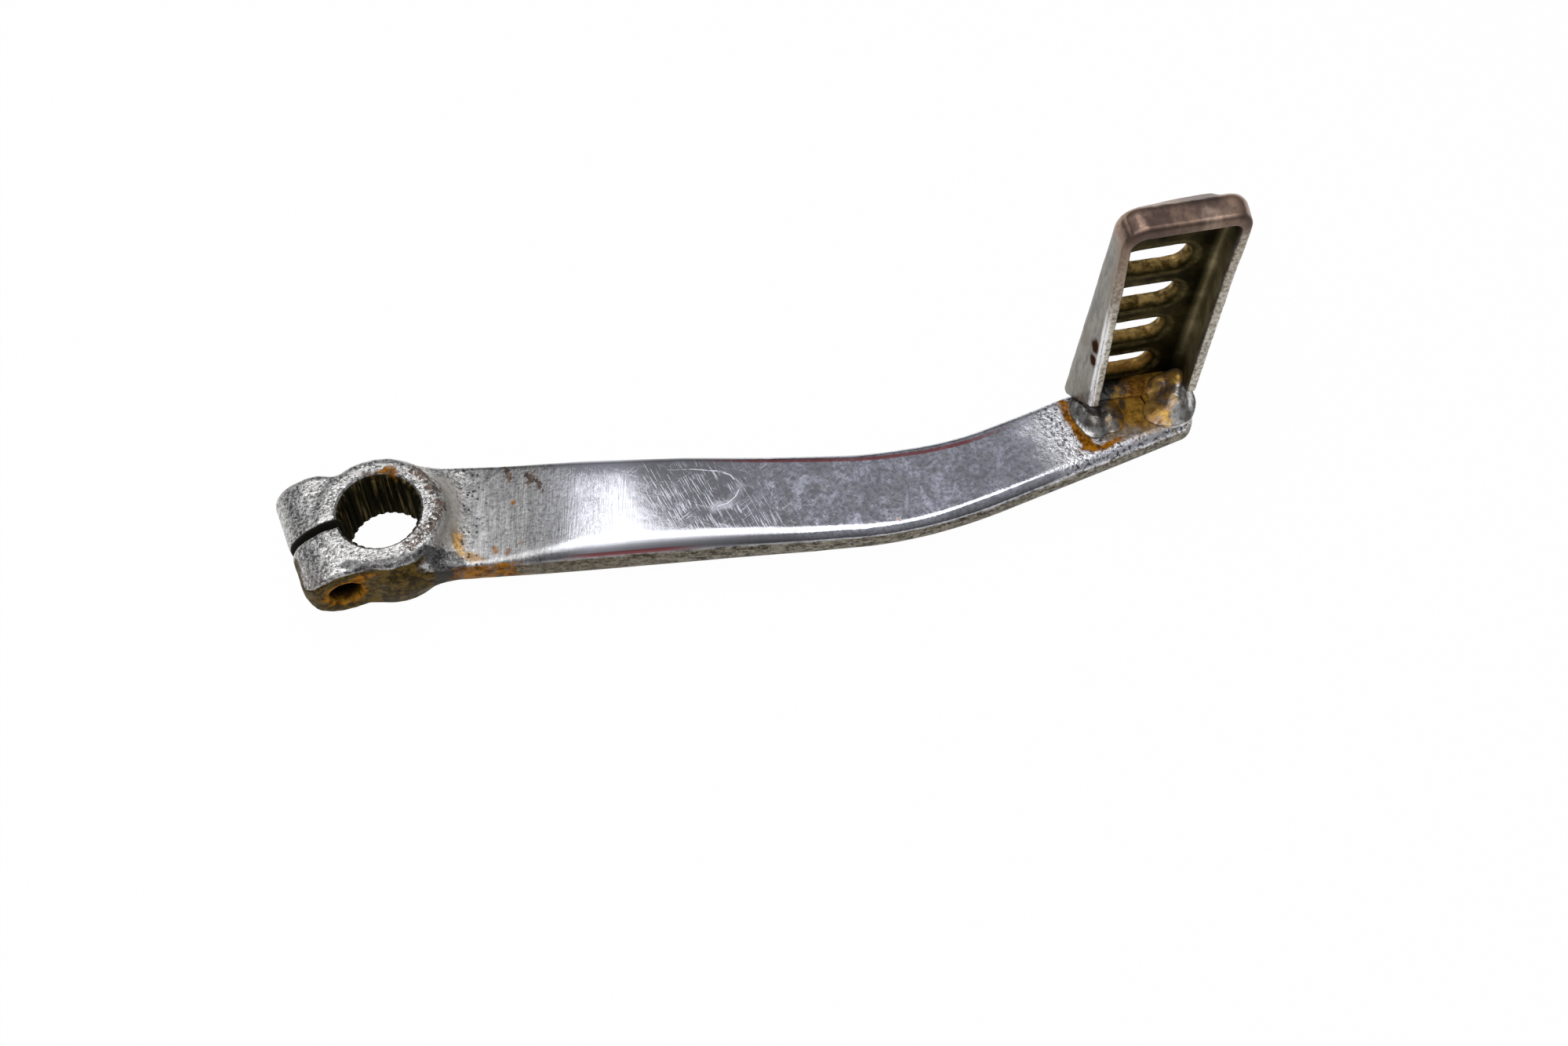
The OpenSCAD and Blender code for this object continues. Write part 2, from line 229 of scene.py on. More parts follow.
def quads_of(inside, index):
    """One face round each grid edge that the surface crosses, between the four cells beside it."""
    m = np.array(inside.shape) - 1
    quads = []
    for axis in range(3):
        b, c = (axis + 1) % 3, (axis + 2) % 3
        lo, hi = [slice(None)] * 3, [slice(None)] * 3
        lo[axis], hi[axis] = slice(0, -1), slice(1, None)
        e = np.argwhere(inside[tuple(lo)] != inside[tuple(hi)])
        e = e[(e[:, b] > 0) & (e[:, b] < m[b]) & (e[:, c] > 0) & (e[:, c] < m[c])]
        step_b, step_c = np.eye(3, dtype=int)[[b, c]]
        ring = [index[tuple((e - s).T)] for s in (step_b + step_c, step_c, 0 * step_c, step_b)]
        quad = np.stack(ring, -1)
        flip = ~inside[tuple(e.T)]
        quad[flip] = quad[flip][:, ::-1]
        quads.append(quad)
    return np.concatenate(quads)


def mesh_of(name, verts, faces):
    mesh = bpy.data.meshes.new(name)
    mesh.from_pydata((np.asarray(verts) * MM).tolist(), [], [list(map(int, f)) for f in faces])
    mesh.validate()
    obj = bpy.data.objects.new(name, mesh)
    bpy.context.scene.collection.objects.link(obj)
    return obj


def surface(form, low, high, cell, name):
    """Mesh of the zero surface of form inside a box, with one vertex in each crossed cell."""
    low, high = np.array(low, float), np.array(high, float)
    n = np.ceil((high - low) / cell).astype(int) + 1
    value = sampled(form, low, cell, n)
    inside = value < 0
    at = crossed_cells(inside)
    index = np.full(n - 1, -1, np.int64)
    index[tuple(at.T)] = np.arange(len(at))
    total, hits = crossings(value, at)
    verts = pulled(form, low + cell * total / hits[:, None], cell)
    return mesh_of(name, verts, quads_of(inside, index))


# The arm


def along(x, y):
    """Distance along the blade's centreline and distance to its left."""
    a = np.arctan2(x - STRAIGHT, BEND_R - y)
    ex, ey = STRAIGHT + BEND_R * math.sin(BEND), BEND_R * (1 - math.cos(BEND))
    dx, dy = x - ex, y - ey
    past = dx * math.cos(BEND) + dy * math.sin(BEND)
    left_of = -dx * math.sin(BEND) + dy * math.cos(BEND)
    s = np.where(x < STRAIGHT, x, np.where(past > 0, BEND_END + past, STRAIGHT + BEND_R * a))
    in_bend = BEND_R - np.hypot(x - STRAIGHT, BEND_R - y)
    v = np.where(x < STRAIGHT, y, np.where(past > 0, left_of, in_bend))
    return s, v


def pad_axes(p):
    """Across, out towards the foot and up, in the pad's own directions."""
    dx, dy = p[:, 0] - PAD_X, p[:, 1] - PAD_Y
    c, s = math.cos(TURN), math.sin(TURN)
    return dx * c + dy * s, -dx * s + dy * c, p[:, 2] - PAD_Z


def ear_axes(p):
    """Along the ears and across their slit, from the shaft's axis."""
    c, s = math.cos(EAR_A), math.sin(EAR_A)
    return p[:, 0] * c + p[:, 1] * s, -p[:, 0] * s + p[:, 1] * c


def blade_size(s):
    """Distances from the centreline to the near and far edges, and heights of the lower and upper faces."""
    u = np.clip((s - BOSS_R) / (STRAIGHT - BOSS_R), 0, 1)
    before_bend = mix(HALF_ROOT, HALF_BEND, (u + step(0, 1, u)) / 2)
    past_bend = mix(HALF_BEND, HALF_TIP, step(STRAIGHT, BEND_END, s))
    half = np.where(s < STRAIGHT, before_bend, past_bend)
    thick = mix(THICK_ROOT, THICK_TIP, step(46, 109, s))
    top = BLADE_Z + thick / 2 - ROOT_DIP * (1 - step(20, 41, s))
    return half + between(s, NEAR_SWELL), half + between(s, FAR_SWELL), BLADE_Z - thick / 2, top


def blade(p):
    s, v = along(p[:, 0], p[:, 1])
    near, far, low, top = blade_size(s)
    v = v - (far - near) / 2
    half = (far + near) / 2
    mid, deep = (low + top) / 2, (top - low) / 2
    grow = step(16, 42, s)
    near_roll = mix(mix(1.2, 3.8, grow), 2.3, step(52, 105, s)) + 0.7 * step(104, 124, s)
    far_roll = mix(mix(0.9, 2.0, grow), 1.7, step(60, 125, s))
    crown = 0.15 * (v / half) ** 6
    z = p[:, 2] + crown * (p[:, 2] > mid)
    r = np.where(z > mid, np.where(v < 0, near_roll, far_roll), LOWER_ROLL)
    d = round_max(np.abs(v) - half, np.abs(z - mid) - deep, np.minimum(r, deep - 0.2))
    # The blade ends under the pad, with its near corner cut back in a curve
    w, n, _ = pad_axes(p)
    end = (w - 9.8) + 0.012 * (n + 4) ** 2 * (n < -4)
    return round_max(round_max(d, end, 2.0), 2 - s, 0.5)


def boss(p):
    r = np.hypot(p[:, 0], p[:, 1])
    near_bulge = 0.5 * step(2, 11, -p[:, 1]) * step(-6, 4, p[:, 0])
    far_hollow = 0.25 * step(2, 11, p[:, 1])
    z = p[:, 2] - MID
    edge = np.where(z > 0, BOSS_TOP_EDGE, BOSS_LOW_EDGE)
    return round_max(r - (BOSS_R + near_bulge - far_hollow), np.abs(z) - MID, edge)


def ears(p):
    s, b = ear_axes(p)
    s = s + 0.038 * b
    tall = MID - 0.25
    z = p[:, 2] - (MID - 0.15)
    side = (np.hypot(np.maximum(s - PINCH, 0) / 8.1, z / tall) - 1) * tall
    cheeks = np.where(b > 0, b - 11.6, -b - 11.2 - 1.55 * step(5.2, 9.8, s))
    corner = np.where(b > 0, 4.5, 1.6)
    plan = round_max(s - EAR_END, np.abs(b + EAR_OFF) - EAR_HALF, corner)
    return round_max(np.maximum(round_max(side, cheeks, 1.5), plan), 5.0 - s, 0.7)


def roughened(p, d, reach, roughness):
    """The shape with its surface roughened, which is worked out only close to it."""
    rough = np.zeros(len(p))
    close = np.abs(d) < reach
    rough[close] = roughness(p[close])
    return d + rough


def cast_skin(q):
    cast = 1 - step(14, 30, q[:, 0])
    return (0.09 * layered(q, 3.2, 3) + 0.05 * noise(q, 0.9, 9)) * (0.06 + 0.94 * cast)


def arm_form(p):
    d = soft_min(soft_min(boss(p), ears(p), 1.0), blade(p), FILLET)
    s, b = ear_axes(p)
    slit = np.maximum(np.abs(b) - SLIT_HALF, SLIT_FROM - s)
    d = round_max(d, -slit, 0.45)
    bolt = np.hypot(s - PINCH, p[:, 2] - MID) - BOLT_R
    d = np.where(s > SLIT_FROM, round_max(d, -bolt, 0.7), d)
    return roughened(p, d, 1.5, cast_skin)


def bore_cutter():
    """Toothed prism that leaves the bore's teeth and flares at both mouths."""
    outline = ((-0.29, TOOTH_TIP), (-0.14, TOOTH_ROOT), (0.14, TOOTH_ROOT), (0.29, TOOTH_TIP))
    verts = []
    for z, mouth in BORE_LEVELS:
        for i, (a, radius) in itertools.product(range(TEETH), outline):
            t = 2 * math.pi * (i + a) / TEETH
            r = max(radius, mouth)
            verts.append((r * math.cos(t), r * math.sin(t), z))
    n = len(outline) * TEETH
    last = len(verts) - n
    faces = [list(range(n))[::-1], list(range(last, last + n))]
    for k in range(0, last, n):
        faces += [[k + i, k + (i + 1) % n, k + n + (i + 1) % n, k + n + i] for i in range(n)]
    return mesh_of("bore_cutter", verts, faces)


def cut(obj, cutter):
    m = obj.modifiers.new("cut", "BOOLEAN")
    m.operation, m.solver, m.object = "DIFFERENCE", "EXACT", cutter
    depsgraph = bpy.context.evaluated_depsgraph_get()
    made = bpy.data.meshes.new_from_object(obj.evaluated_get(depsgraph))
    obj.modifiers.clear()
    obj.data = made
    bpy.data.objects.remove(cutter)


# The pad


def middle_at(z):
    """Middle of the tray at a height, which leans to the right."""
    return -2.2 + 2.9 * z / PAD_H


def wall_depth(z):
    return mix(WALL_FOOT, WALL_TOP, z / PAD_H)


def half_width(z, t):
    """Half width of the tray at a height, from the tread at t = 0 to the walls' rims at t = 1."""
    return mix(mix(TREAD_FOOT, TREAD_TOP, z / PAD_H), mix(RIM_FOOT, RIM_TOP, z / PAD_H), t)


def slots(w, z):
    """For each slot: distance past its straight part, distance from its middle line, distance outside it."""
    for i in range(SLOTS):
        height = SLOT_FIRST + SLOT_PITCH * i
        tall = SLOT_W - SLOT_GROWS * (SLOTS - 1 - i)
        run = np.maximum(np.abs(w - SLOT_MIDDLE - SLOT_LEAN * height) - (SLOT_L - tall) / 2, 0)
        away = np.hypot(run, z - height)
        yield run, away, away - tall / 2


def tray(w, n, z, press):
    """The sheet and its three walls, with the tread pressed out towards the foot."""
    zc = np.clip(z, 0, PAD_H)
    deep = wall_depth(zc)
    t = np.clip((SHEET - n) / deep, 0, 1.2)
    right_side = (0.3 * t - 0.45 * step(40, PAD_H - 4, z)) * (w > 0)
    u = np.abs(w - middle_at(zc)) - half_width(zc, t) + right_side
    corner = np.where(w > middle_at(PAD_H), 4.0, 4.8)
    wall = round_max(u, z - PAD_H, corner)
    hollow = round_max(u, z - PAD_H + THICKER_TOP, corner) + SHEET
    outer = round_max(wall, n - press - SHEET, 2.9)
    inner = round_max(hollow, n - press, 1.3)
    d = soft_max(outer, -inner, 0.35)
    d = round_max(d, (SHEET - deep) - n, mix(0.55, 0.95, step(PAD_H - 12, PAD_H - 3, z)))
    # The walls' feet are cut up at a slant
    foot = np.where(n > -1, -z, ((-1 - n) * 7 / 8.7 - z) * 0.78)
    return soft_max(d, foot, 0.5)


def top_rib(w, n, z):
    """The swelling across the outside of the tread, near its top."""
    aside = w - middle_at(PAD_H)
    crest = mix(0.9, 1.6, step(-9, 2, aside))
    return round_max(np.hypot(n - 2.0, z - (PAD_H - 3.8)) - crest, np.abs(aside + 0.6) - 7.6, 0.8)


def pressed_skin(q):
    return 0.07 * layered(q, 5.0, 21) + 0.03 * noise(q, 1.1, 27)


def pad_form(p):
    w, n, z = pad_axes(p)
    press = np.zeros(len(p))
    hole = np.full(len(p), 99.0)
    for run, away, outside in slots(w, z):
        slope = mix(1.4, 2.9, np.clip(run / np.maximum(away, 0.01), 0, 1) ** 2)
        press = np.maximum(press, SLOT_PRESS * (1 - step(-0.2, 1, outside / slope)))
        hole = np.minimum(hole, outside)
    d = soft_min(tray(w, n, z, press), top_rib(w, n, z), 1.8)
    return roughened(p, round_max(d, -hole, 0.75), 1.2, pressed_skin)


# The weld lumps


def blob(p, w0, n0, z0, a, b, c):
    """Egg shape at a place in the pad's directions, with three half widths."""
    w, n, z = pad_axes(p)
    k = np.sqrt(((w - w0) / a) ** 2 + ((n - n0) / b) ** 2 + ((z - z0) / c) ** 2)
    return (k - 1) * min(a, b, c)


def settled(p, d, reach):
    """A lump that spreads a little where it meets the blade."""
    skirt = np.maximum(p[:, 2] - SKIRT_Z, d - reach)
    return soft_min(d, skirt, 2.4)


def left_lump(p):
    d = soft_min(blob(p, -11.1, -8.3, 0.0, 2.2, 2.8, 2.6), blob(p, -12.9, -5.4, 0.0, 1.3, 2.0, 2.2), 1.6)
    d = soft_min(d, blob(p, -7.9, -8.0, 0.0, 1.8, 2.4, 1.9), 0.7)
    return settled(p, d, 1.0) + 0.14 * layered(p, 2.6, 41, 2) + 0.02 * noise(p, 0.8, 47)


def right_lump(p):
    d = soft_min(blob(p, 6.3, -6.8, 0.0, 3.0, 3.6, 3.4), blob(p, 3.6, -8.8, -0.2, 2.8, 2.3, 1.6), 2.4)
    d = soft_min(d, blob(p, 7.4, -3.4, 1.0, 1.8, 2.6, 4.2), 1.8)
    d = soft_min(d, blob(p, 4.8, -2.4, 0.8, 2.6, 1.6, 2.4), 1.8)
    return settled(p, d, 0.7) + 0.14 * layered(p, 3.0, 51, 2) + 0.03 * noise(p, 0.9, 57)


def foot_run(p):
    w, n, z = pad_axes(p)
    k = np.hypot((n + 0.1) / 2.2, z / 1.1)
    d = round_max((k - 1) * 1.1, np.abs(w + 2.5) - 8.6, 1.0)
    return settled(p, d, 0.6) + 0.10 * layered(p, 2.8, 61, 2) + 0.04 * noise(p, 0.7, 67)


# The five pieces, each made inside its own box

arm = surface(arm_form, (-23.4, -17, -1.5), (170, 34, 16.5), ARM_CELL, "brake_arm")
cut(arm, bore_cutter())
pad = surface(pad_form, (136, 9, 9.5), (171, 32.5, 70.5), PAD_CELL, "foot_pad")
left = surface(left_lump, (132, 4, 7), (153, 27, 19), WELD_CELL, "weld_left")
right = surface(right_lump, (148, 7, 7), (171, 30, 20), WELD_CELL, "weld_right")
run = surface(foot_run, (138, 16, 8), (168, 31, 15), WELD_CELL, "weld_foot")


# Where the wear and the painted light and shade lie, stored on the vertices


def positions(obj):
    """Places in millimetres and normals of the vertices."""
    co = np.empty(len(obj.data.vertices) * 3, np.float32)
    obj.data.vertices.foreach_get("co", co)
    no = np.empty_like(co)
    obj.data.vertex_normals.foreach_get("vector", no)
    return co.reshape(-1, 3).astype(float) / MM, no.reshape(-1, 3).astype(float)


def store(obj, **fields):
    for name, values in fields.items():
        a = obj.data.attributes.new(name, "FLOAT", "POINT")
        a.data.foreach_set("value", np.clip(values, 0, 1).astype(np.float32))


def spot(p, x, y, rx, ry, turn=0.0, seed=0, rag=0.35):
    """Patch with a ragged edge round a place on the plan, 1 in its middle."""
    c, s = math.cos(math.radians(turn)), math.sin(math.radians(turn))
    dx, dy = p[:, 0] - x, p[:, 1] - y
    d = np.hypot((dx * c + dy * s) / rx, (-dx * s + dy * c) / ry)
    out = np.zeros(len(p))
    close = d < 2.2
    out[close] = 1 - step(0.45, 1.25, d[close] + rag * layered(p[close], 1.6, seed))
    return out


def patches(p, *rows):
    return sum(strength * spot(p, *place) for strength, *place in rows)


def nearest(p, points):
    """Distance to a line through places on the plan, and 1 on its left or -1 on its right."""
    best, sign = np.full(len(p), 99.0), np.ones(len(p))
    for (x0, y0), (x1, y1) in zip(points, points[1:]):
        ex, ey = x1 - x0, y1 - y0
        dx, dy = p[:, 0] - x0, p[:, 1] - y0
        t = np.clip((dx * ex + dy * ey) / (ex * ex + ey * ey), 0, 1)
        d = np.hypot(dx - t * ex, dy - t * ey)
        sign = np.where(d < best, np.sign(ex * dy - ey * dx), sign)
        best = np.minimum(best, d)
    return best, sign


def stroke(p, points, width, seed=0, rag=0.3):
    """Ragged line through places on the plan, 1 along its middle."""
    d = nearest(p, points)[0] / width
    out = np.zeros(len(p))
    close = d < 2.5
    out[close] = 1 - step(0.3, 1.2, d[close] + rag * layered(p[close], 1.3, seed))
    return out


def line(p, points):
    """Distance to a line on the plan, negative on its right, in the form that Look.thin reads."""
    best, sign = nearest(p, points)
    return 0.5 + PER_MM * best * sign


def arm_rust(p, n, ragged):
    """Rust at the bore's rim, the bolt hole, the near flank, in freckles and along the pad's seam."""
    y, z = p[:, 1], p[:, 2]
    es, eb = ear_axes(p)
    rim = spot(p, 2.3, 9.0, 2.1, 1.2, -15, 71, 0.5) * (z > 11)
    rim = rim + 0.7 * spot(p, -1.2, 8.7, 2.8, 0.5, 4, 72, 0.6) * (z > 13)
    bolt = np.hypot(es - PINCH, z - MID)
    mouth = (1 - step(BOLT_R, 4.9, bolt + 0.6 * layered(p, 1.5, 73))) * (eb > 8) * (es > 5)
    beside_trail = np.abs(es - 8.4 + 1.1 * (z - 10.5)) + 0.9 * ragged
    trail = 0.75 * step(9.6, 11.2, eb) * (1 - step(0.8, 3.6, beside_trail))
    trail = trail * step(7.5, 10.5, z) * (1 - step(12.2, 13.8, z))
    flank = 0.9 * spot(p, 20.5, -11.0, 7.5, 2.2, -3, 74, 0.25) * step(3.5, 7.0, z)
    flank = flank * (n[:, 2] < 0.75) * (y < 0)
    seam = (stroke(p, SEAM_LINE, 1.5, 82) + patches(p, *SEAM_SPOTS)) * (z > ON_TOP)
    return 0.8 * rim + mouth + trail + 0.85 * flank + 0.85 * patches(p, *FRECKLES) + seam


def arm_soot(p):
    """Painted shade: a dark reflection along the boss's near edge, a shadow in the corner beside it and shade
    under the pad.
    """
    z = p[:, 2]
    edge = stroke(p, SHADED_RIM, 1.3, 89, 0.5) * step(9, 12, z)
    corner = spot(p, 13.0, -10.6, 4.2, 2.7, -12, 98, 0.5) * (z > 4)
    return 0.8 * edge + corner + 0.8 * spot(p, 150.0, 17.4, 0.8, 1.7, 0, 90) * (z > ON_TOP)


def arm_dirt_and_shade(p, n):
    """Dirt and painted shade on the near side of the boss, where the blade leaves it."""
    x, y = p[:, 0], p[:, 1]
    outside = (np.hypot(x, y) > 11.6) * (ear_axes(p)[1] > 2)
    near_side = (y < 0) * (n[:, 2] < 0.6) * (1 - step(14, 17, x))
    return outside * near_side * np.maximum(step(8.4, 10.6, -y), 1 - step(7, 9, x))


def red_lines(s, v, near, far):
    """Where the painted red reflections along both edges show, and the distance to them."""
    by_far_edge = step(60, 76, s) * (1 - step(118, 134, s))
    by_near_edge = step(33, 42, s) * (1 - step(54, 66, s))
    far_line = 0.5 + PER_MM * (v - far + between(s, RED_REFLECTION_INSET))
    near_line = 0.5 + 1.7 * PER_MM * (v + near - 0.7)
    return np.where(v > 0, by_far_edge, by_near_edge), np.where(v > 0, far_line, near_line)


def arm_wear_and_painted_light():
    p, n = positions(arm)
    x, y, z = p.T
    s, v = along(x, y)
    near, far, _, _ = blade_size(s)
    upper, top = z > 8.5, z > ON_TOP
    ragged = layered(p, 2.5, 5)
    polish = step(29, 41, s + 2 * ragged) * (1 - step(131, 140, s + 4 * layered(p, (2, 6, 6), 8)))
    floor_stain = patches(p, FLOOR_STAIN) * top
    brown = 0.6 * stroke(p, BROWN_ARC, 1.7, 86, 0.5) + 0.9 * patches(p, *FLAKES)
    pale = stroke(p, PALE_ARC, 3.0, 91, 0.3) * (1 - step(14.2, 14.8, z))
    pits = step(13.5, 16.0, x) * (1 - step(18.0, 24.0, x + 2 * ragged))
    tip = step(128, 139, s + 4 * layered(p, 3, 93)) * (1 - floor_stain)
    # Painted red reflections along both edges of the blade
    red, red_line = red_lines(s, v, near, far)
    scratch = SCRATCH_RUN + SCRATCH_HOOK
    store(arm, boss=1 - step(14.0, 19.0, x + 1.2 * ragged), polish=polish, rust=arm_rust(p, n, ragged),
          stain=patches(p, *GOLD_SPOTS) + floor_stain, brown=brown * top, soot=arm_soot(p), pale=pale * top,
          pits=pits * upper, tip=tip * upper, dirt=arm_dirt_and_shade(p, n), red=red * upper, red_line=red_line)
    store(arm, scratched=step(47, 56, s) * (1 - step(70, 88, s + 0.8 * v)), smears=step(66, 78, s),
          hook=stroke(p, scratch, 0.7, 94, 0.2) * upper, hook_line=line(p, scratch),
          haze=stroke(p, SCRATCH_HOOK, 1.4, 97, 0.4) * upper,
          crack=stroke(p, FLOOR_CRACK, 0.8, 99, 0.1) * upper, crack_line=line(p, FLOOR_CRACK))


def slot_rims(q):
    """The slots' lips and the crests of the pressed sheet round them."""
    lip, crest = np.zeros(len(q)), np.zeros(len(q))
    for _, _, outside in slots(q[:, 0], q[:, 2]):
        d = outside + 0.12 * noise(q, 1.2, 31)
        lip = np.maximum(lip, 1 - step(0.1, 1.1, d))
        crest = np.maximum(crest, 1 - step(0.3, 0.8, np.abs(d - 1.9)))
    return lip, crest


def wall_spot(q, out, up, half_out, half_up, seed):
    """Round spot on a side wall, 1 in its middle."""
    away = np.hypot((q[:, 1] - out) / half_out, (q[:, 2] - up) / half_up)
    return 1 - step(0.7, 1.3, away + 0.2 * noise(q, 1, seed))


def pad_wear_and_painted_light():
    p, n = positions(pad)
    w, m, z = pad_axes(p)
    q = np.stack([w, m, z], -1)
    faces_right = n[:, 0] * math.cos(TURN) + n[:, 1] * math.sin(TURN)
    u = w - middle_at(z)
    deep = wall_depth(z)
    over_rim = m + deep
    half = half_width(z, np.clip((SHEET - m) / deep, 0, 1))
    inside = (np.abs(u) < half - 1.2) * (z < PAD_H - 1.2) * step(1.6, 4.0, over_rim) * (m < 1.4)
    lip, crest = slot_rims(q)
    spots = np.maximum(wall_spot(q, -5.3, 23.0, 1.6, 2.1, 33), wall_spot(q, -5.9, 19.0, 1.4, 1.7, 34))
    warm = step(26, 50, z + 4 * layered(q, 8, 36)) * (1 - step(2.5, 6.5, over_rim))
    glint = (1 - step(0.5, 1.1, np.abs(over_rim - 2.4))) * (1 - step(28, 40, z))
    sheen = (1 - step(0.4, 1.3, np.hypot((u - 4.6) / 3.4, (m + 3.4) / 1.9))) * (z > PAD_H - 2.5)
    flank = inside * step(8.2, 10.2, np.abs(u)) * (1 - 0.8 * step(42, 54, z))
    store(pad, inside=inside, lip=lip * (m < 2.9), crest=crest * inside,
          top=step(PAD_H - 6.5, PAD_H - 2.5, z + 0.8 * layered(q, 2.5, 35)),
          spots=spots * (faces_right < -0.5) * (u < -9), rim=1 - step(2.2, 3.2, over_rim),
          warm=warm * np.where(u < 0, 1, 0.35), glint=glint * (faces_right < -0.1) * (u < 0),
          sheen=sheen, low=1 - step(2, 24, z), flank=flank)


arm_wear_and_painted_light()
pad_wear_and_painted_light()


# Materials


def add(tree, kind, ins=None, **props):
    """A shader node with its inputs linked or set."""
    node = tree.nodes.new("ShaderNode" + kind)
    for name, value in props.items():
        setattr(node, name, value)
    for name, value in (ins or {}).items():
        if isinstance(value, bpy.types.NodeSocket):
            tree.links.new(value, node.inputs[name])
        else:
            node.inputs[name].default_value = value
    return node


class Look:
    """Short names for the nodes of a material, which also keeps its shared textures and masks.

    Lengths are in millimetres, and the scales of textures in lumps to the metre.
    """

    def __init__(self, name):
        self.mat = bpy.data.materials.new(name)
        self.mat.use_nodes = True
        self.t = self.mat.node_tree
        self.t.nodes.clear()
        self.place = add(self.t, "TexCoord").outputs["Object"]

    def field(self, name):
        return add(self.t, "Attribute", attribute_name=name).outputs["Fac"]

    def keep_fields(self, *names):
        for name in names:
            setattr(self, name, self.field(name))

    def keep_textures(self, grain, coarse, broad):
        """Noise at three scales, fine to large."""
        self.grain = self.noise(grain, 3, 0.6)
        self.coarse = self.noise(coarse, 4, 0.65)
        self.broad = self.noise(broad, 4, 0.6)

    def scaled(self, scale, turn=0.0):
        """Coordinates turned about the upright axis, then stretched."""
        turned = add(self.t, "Mapping", {"Vector": self.place, "Rotation": (0, 0, turn)}).outputs[0]
        return add(self.t, "Mapping", {"Vector": turned, "Scale": scale}).outputs[0]

    def noise(self, scale, detail=3.0, rough=0.55, warp=0.0, vector=None):
        ins = {"Vector": vector or self.place, "Scale": scale, "Detail": detail, "Roughness": rough,
               "Distortion": warp}
        return add(self.t, "TexNoise", ins).outputs["Fac"]

    def streaks(self, scale, detail, rough, turn=0.0):
        """Noise with its own scale along each axis, after a turn about the upright axis."""
        return self.noise(1, detail, rough, vector=self.scaled(scale, turn))

    def step(self, x, lo, hi, a=0.0, b=1.0):
        ins = {"Value": x, "From Min": lo, "From Max": hi, "To Min": a, "To Max": b}
        return add(self.t, "MapRange", ins, interpolation_type="SMOOTHSTEP").outputs[0]

    def place_step(self, x, lo, hi, a=0.0, b=1.0):
        """A step along a coordinate or distance, between two places in millimetres."""
        return self.step(x, lo * MM, hi * MM, a, b)

    def math(self, op, a, b=0.5, c=0.5):
        return add(self.t, "Math", {0: a, 1: b, 2: c}, operation=op).outputs[0]

    def chain(self, op, xs):
        out = xs[0]
        for x in xs[1:]:
            out = self.math(op, out, x)
        return out

    def mul(self, *xs):
        return self.chain("MULTIPLY", xs)

    def most(self, *xs):
        return self.chain("MAXIMUM", xs)

    def plus(self, a, b):
        return self.math("ADD", a, b)

    def less(self, a):
        return self.math("SUBTRACT", 1.0, a)

    def swayed(self, x, texture, amount):
        """A value pushed up and down by a texture."""
        return self.math("MULTIPLY_ADD", self.math("SUBTRACT", texture, 0.5), amount, x)

    def root_sum(self, a, b):
        return self.math("SQRT", self.plus(self.mul(a, a), self.mul(b, b)))

    def blend(self, fac, a, b):
        """Colour a where fac is 0, colour b where it is 1."""
        a, b = (c if isinstance(c, bpy.types.NodeSocket) else (*c, 1.0) for c in (a, b))
        return add(self.t, "Mix", {0: fac, 6: a, 7: b}, data_type="RGBA").outputs[2]

    def level(self, fac, a, b):
        """Number a where fac is 0, number b where it is 1."""
        return add(self.t, "Mix", {0: fac, 2: a, 3: b}, data_type="FLOAT").outputs[0]

    def thin(self, name, half):
        """A narrow line at a stored distance of nought, half its width in millimetres."""
        away = self.math("ABSOLUTE", self.math("SUBTRACT", self.field(name), 0.5))
        return self.step(away, 1.3 * PER_MM * half, 0.7 * PER_MM * half)

    def ragged(self, name, texture, amount=0.9, sharp=0.12, cover=1.0):
        """A stored patch whose edge follows a texture."""
        pushed = self.swayed(self.mul(self.field(name), cover), texture, amount)
        return self.mul(self.step(pushed, 0.5 - sharp, 0.5 + sharp), self.step(self.field(name), 0.0, 0.1))

    def bump(self, height, deep, strength=1.0, normal=None):
        ins = {"Height": height, "Distance": deep * MM, "Strength": strength}
        if normal is not None:
            ins["Normal"] = normal
        return add(self.t, "Bump", ins).outputs[0]

    def finish(self, color, metal, rough, normal, dull):
        ins = {"Base Color": color, "Metallic": metal, "Roughness": rough, "Normal": normal,
               "Specular IOR Level": self.level(dull, 0.5, 0.0)}
        shader = add(self.t, "BsdfPrincipled", ins)
        add(self.t, "OutputMaterial", {"Surface": shader.outputs[0]})
        return self.mat


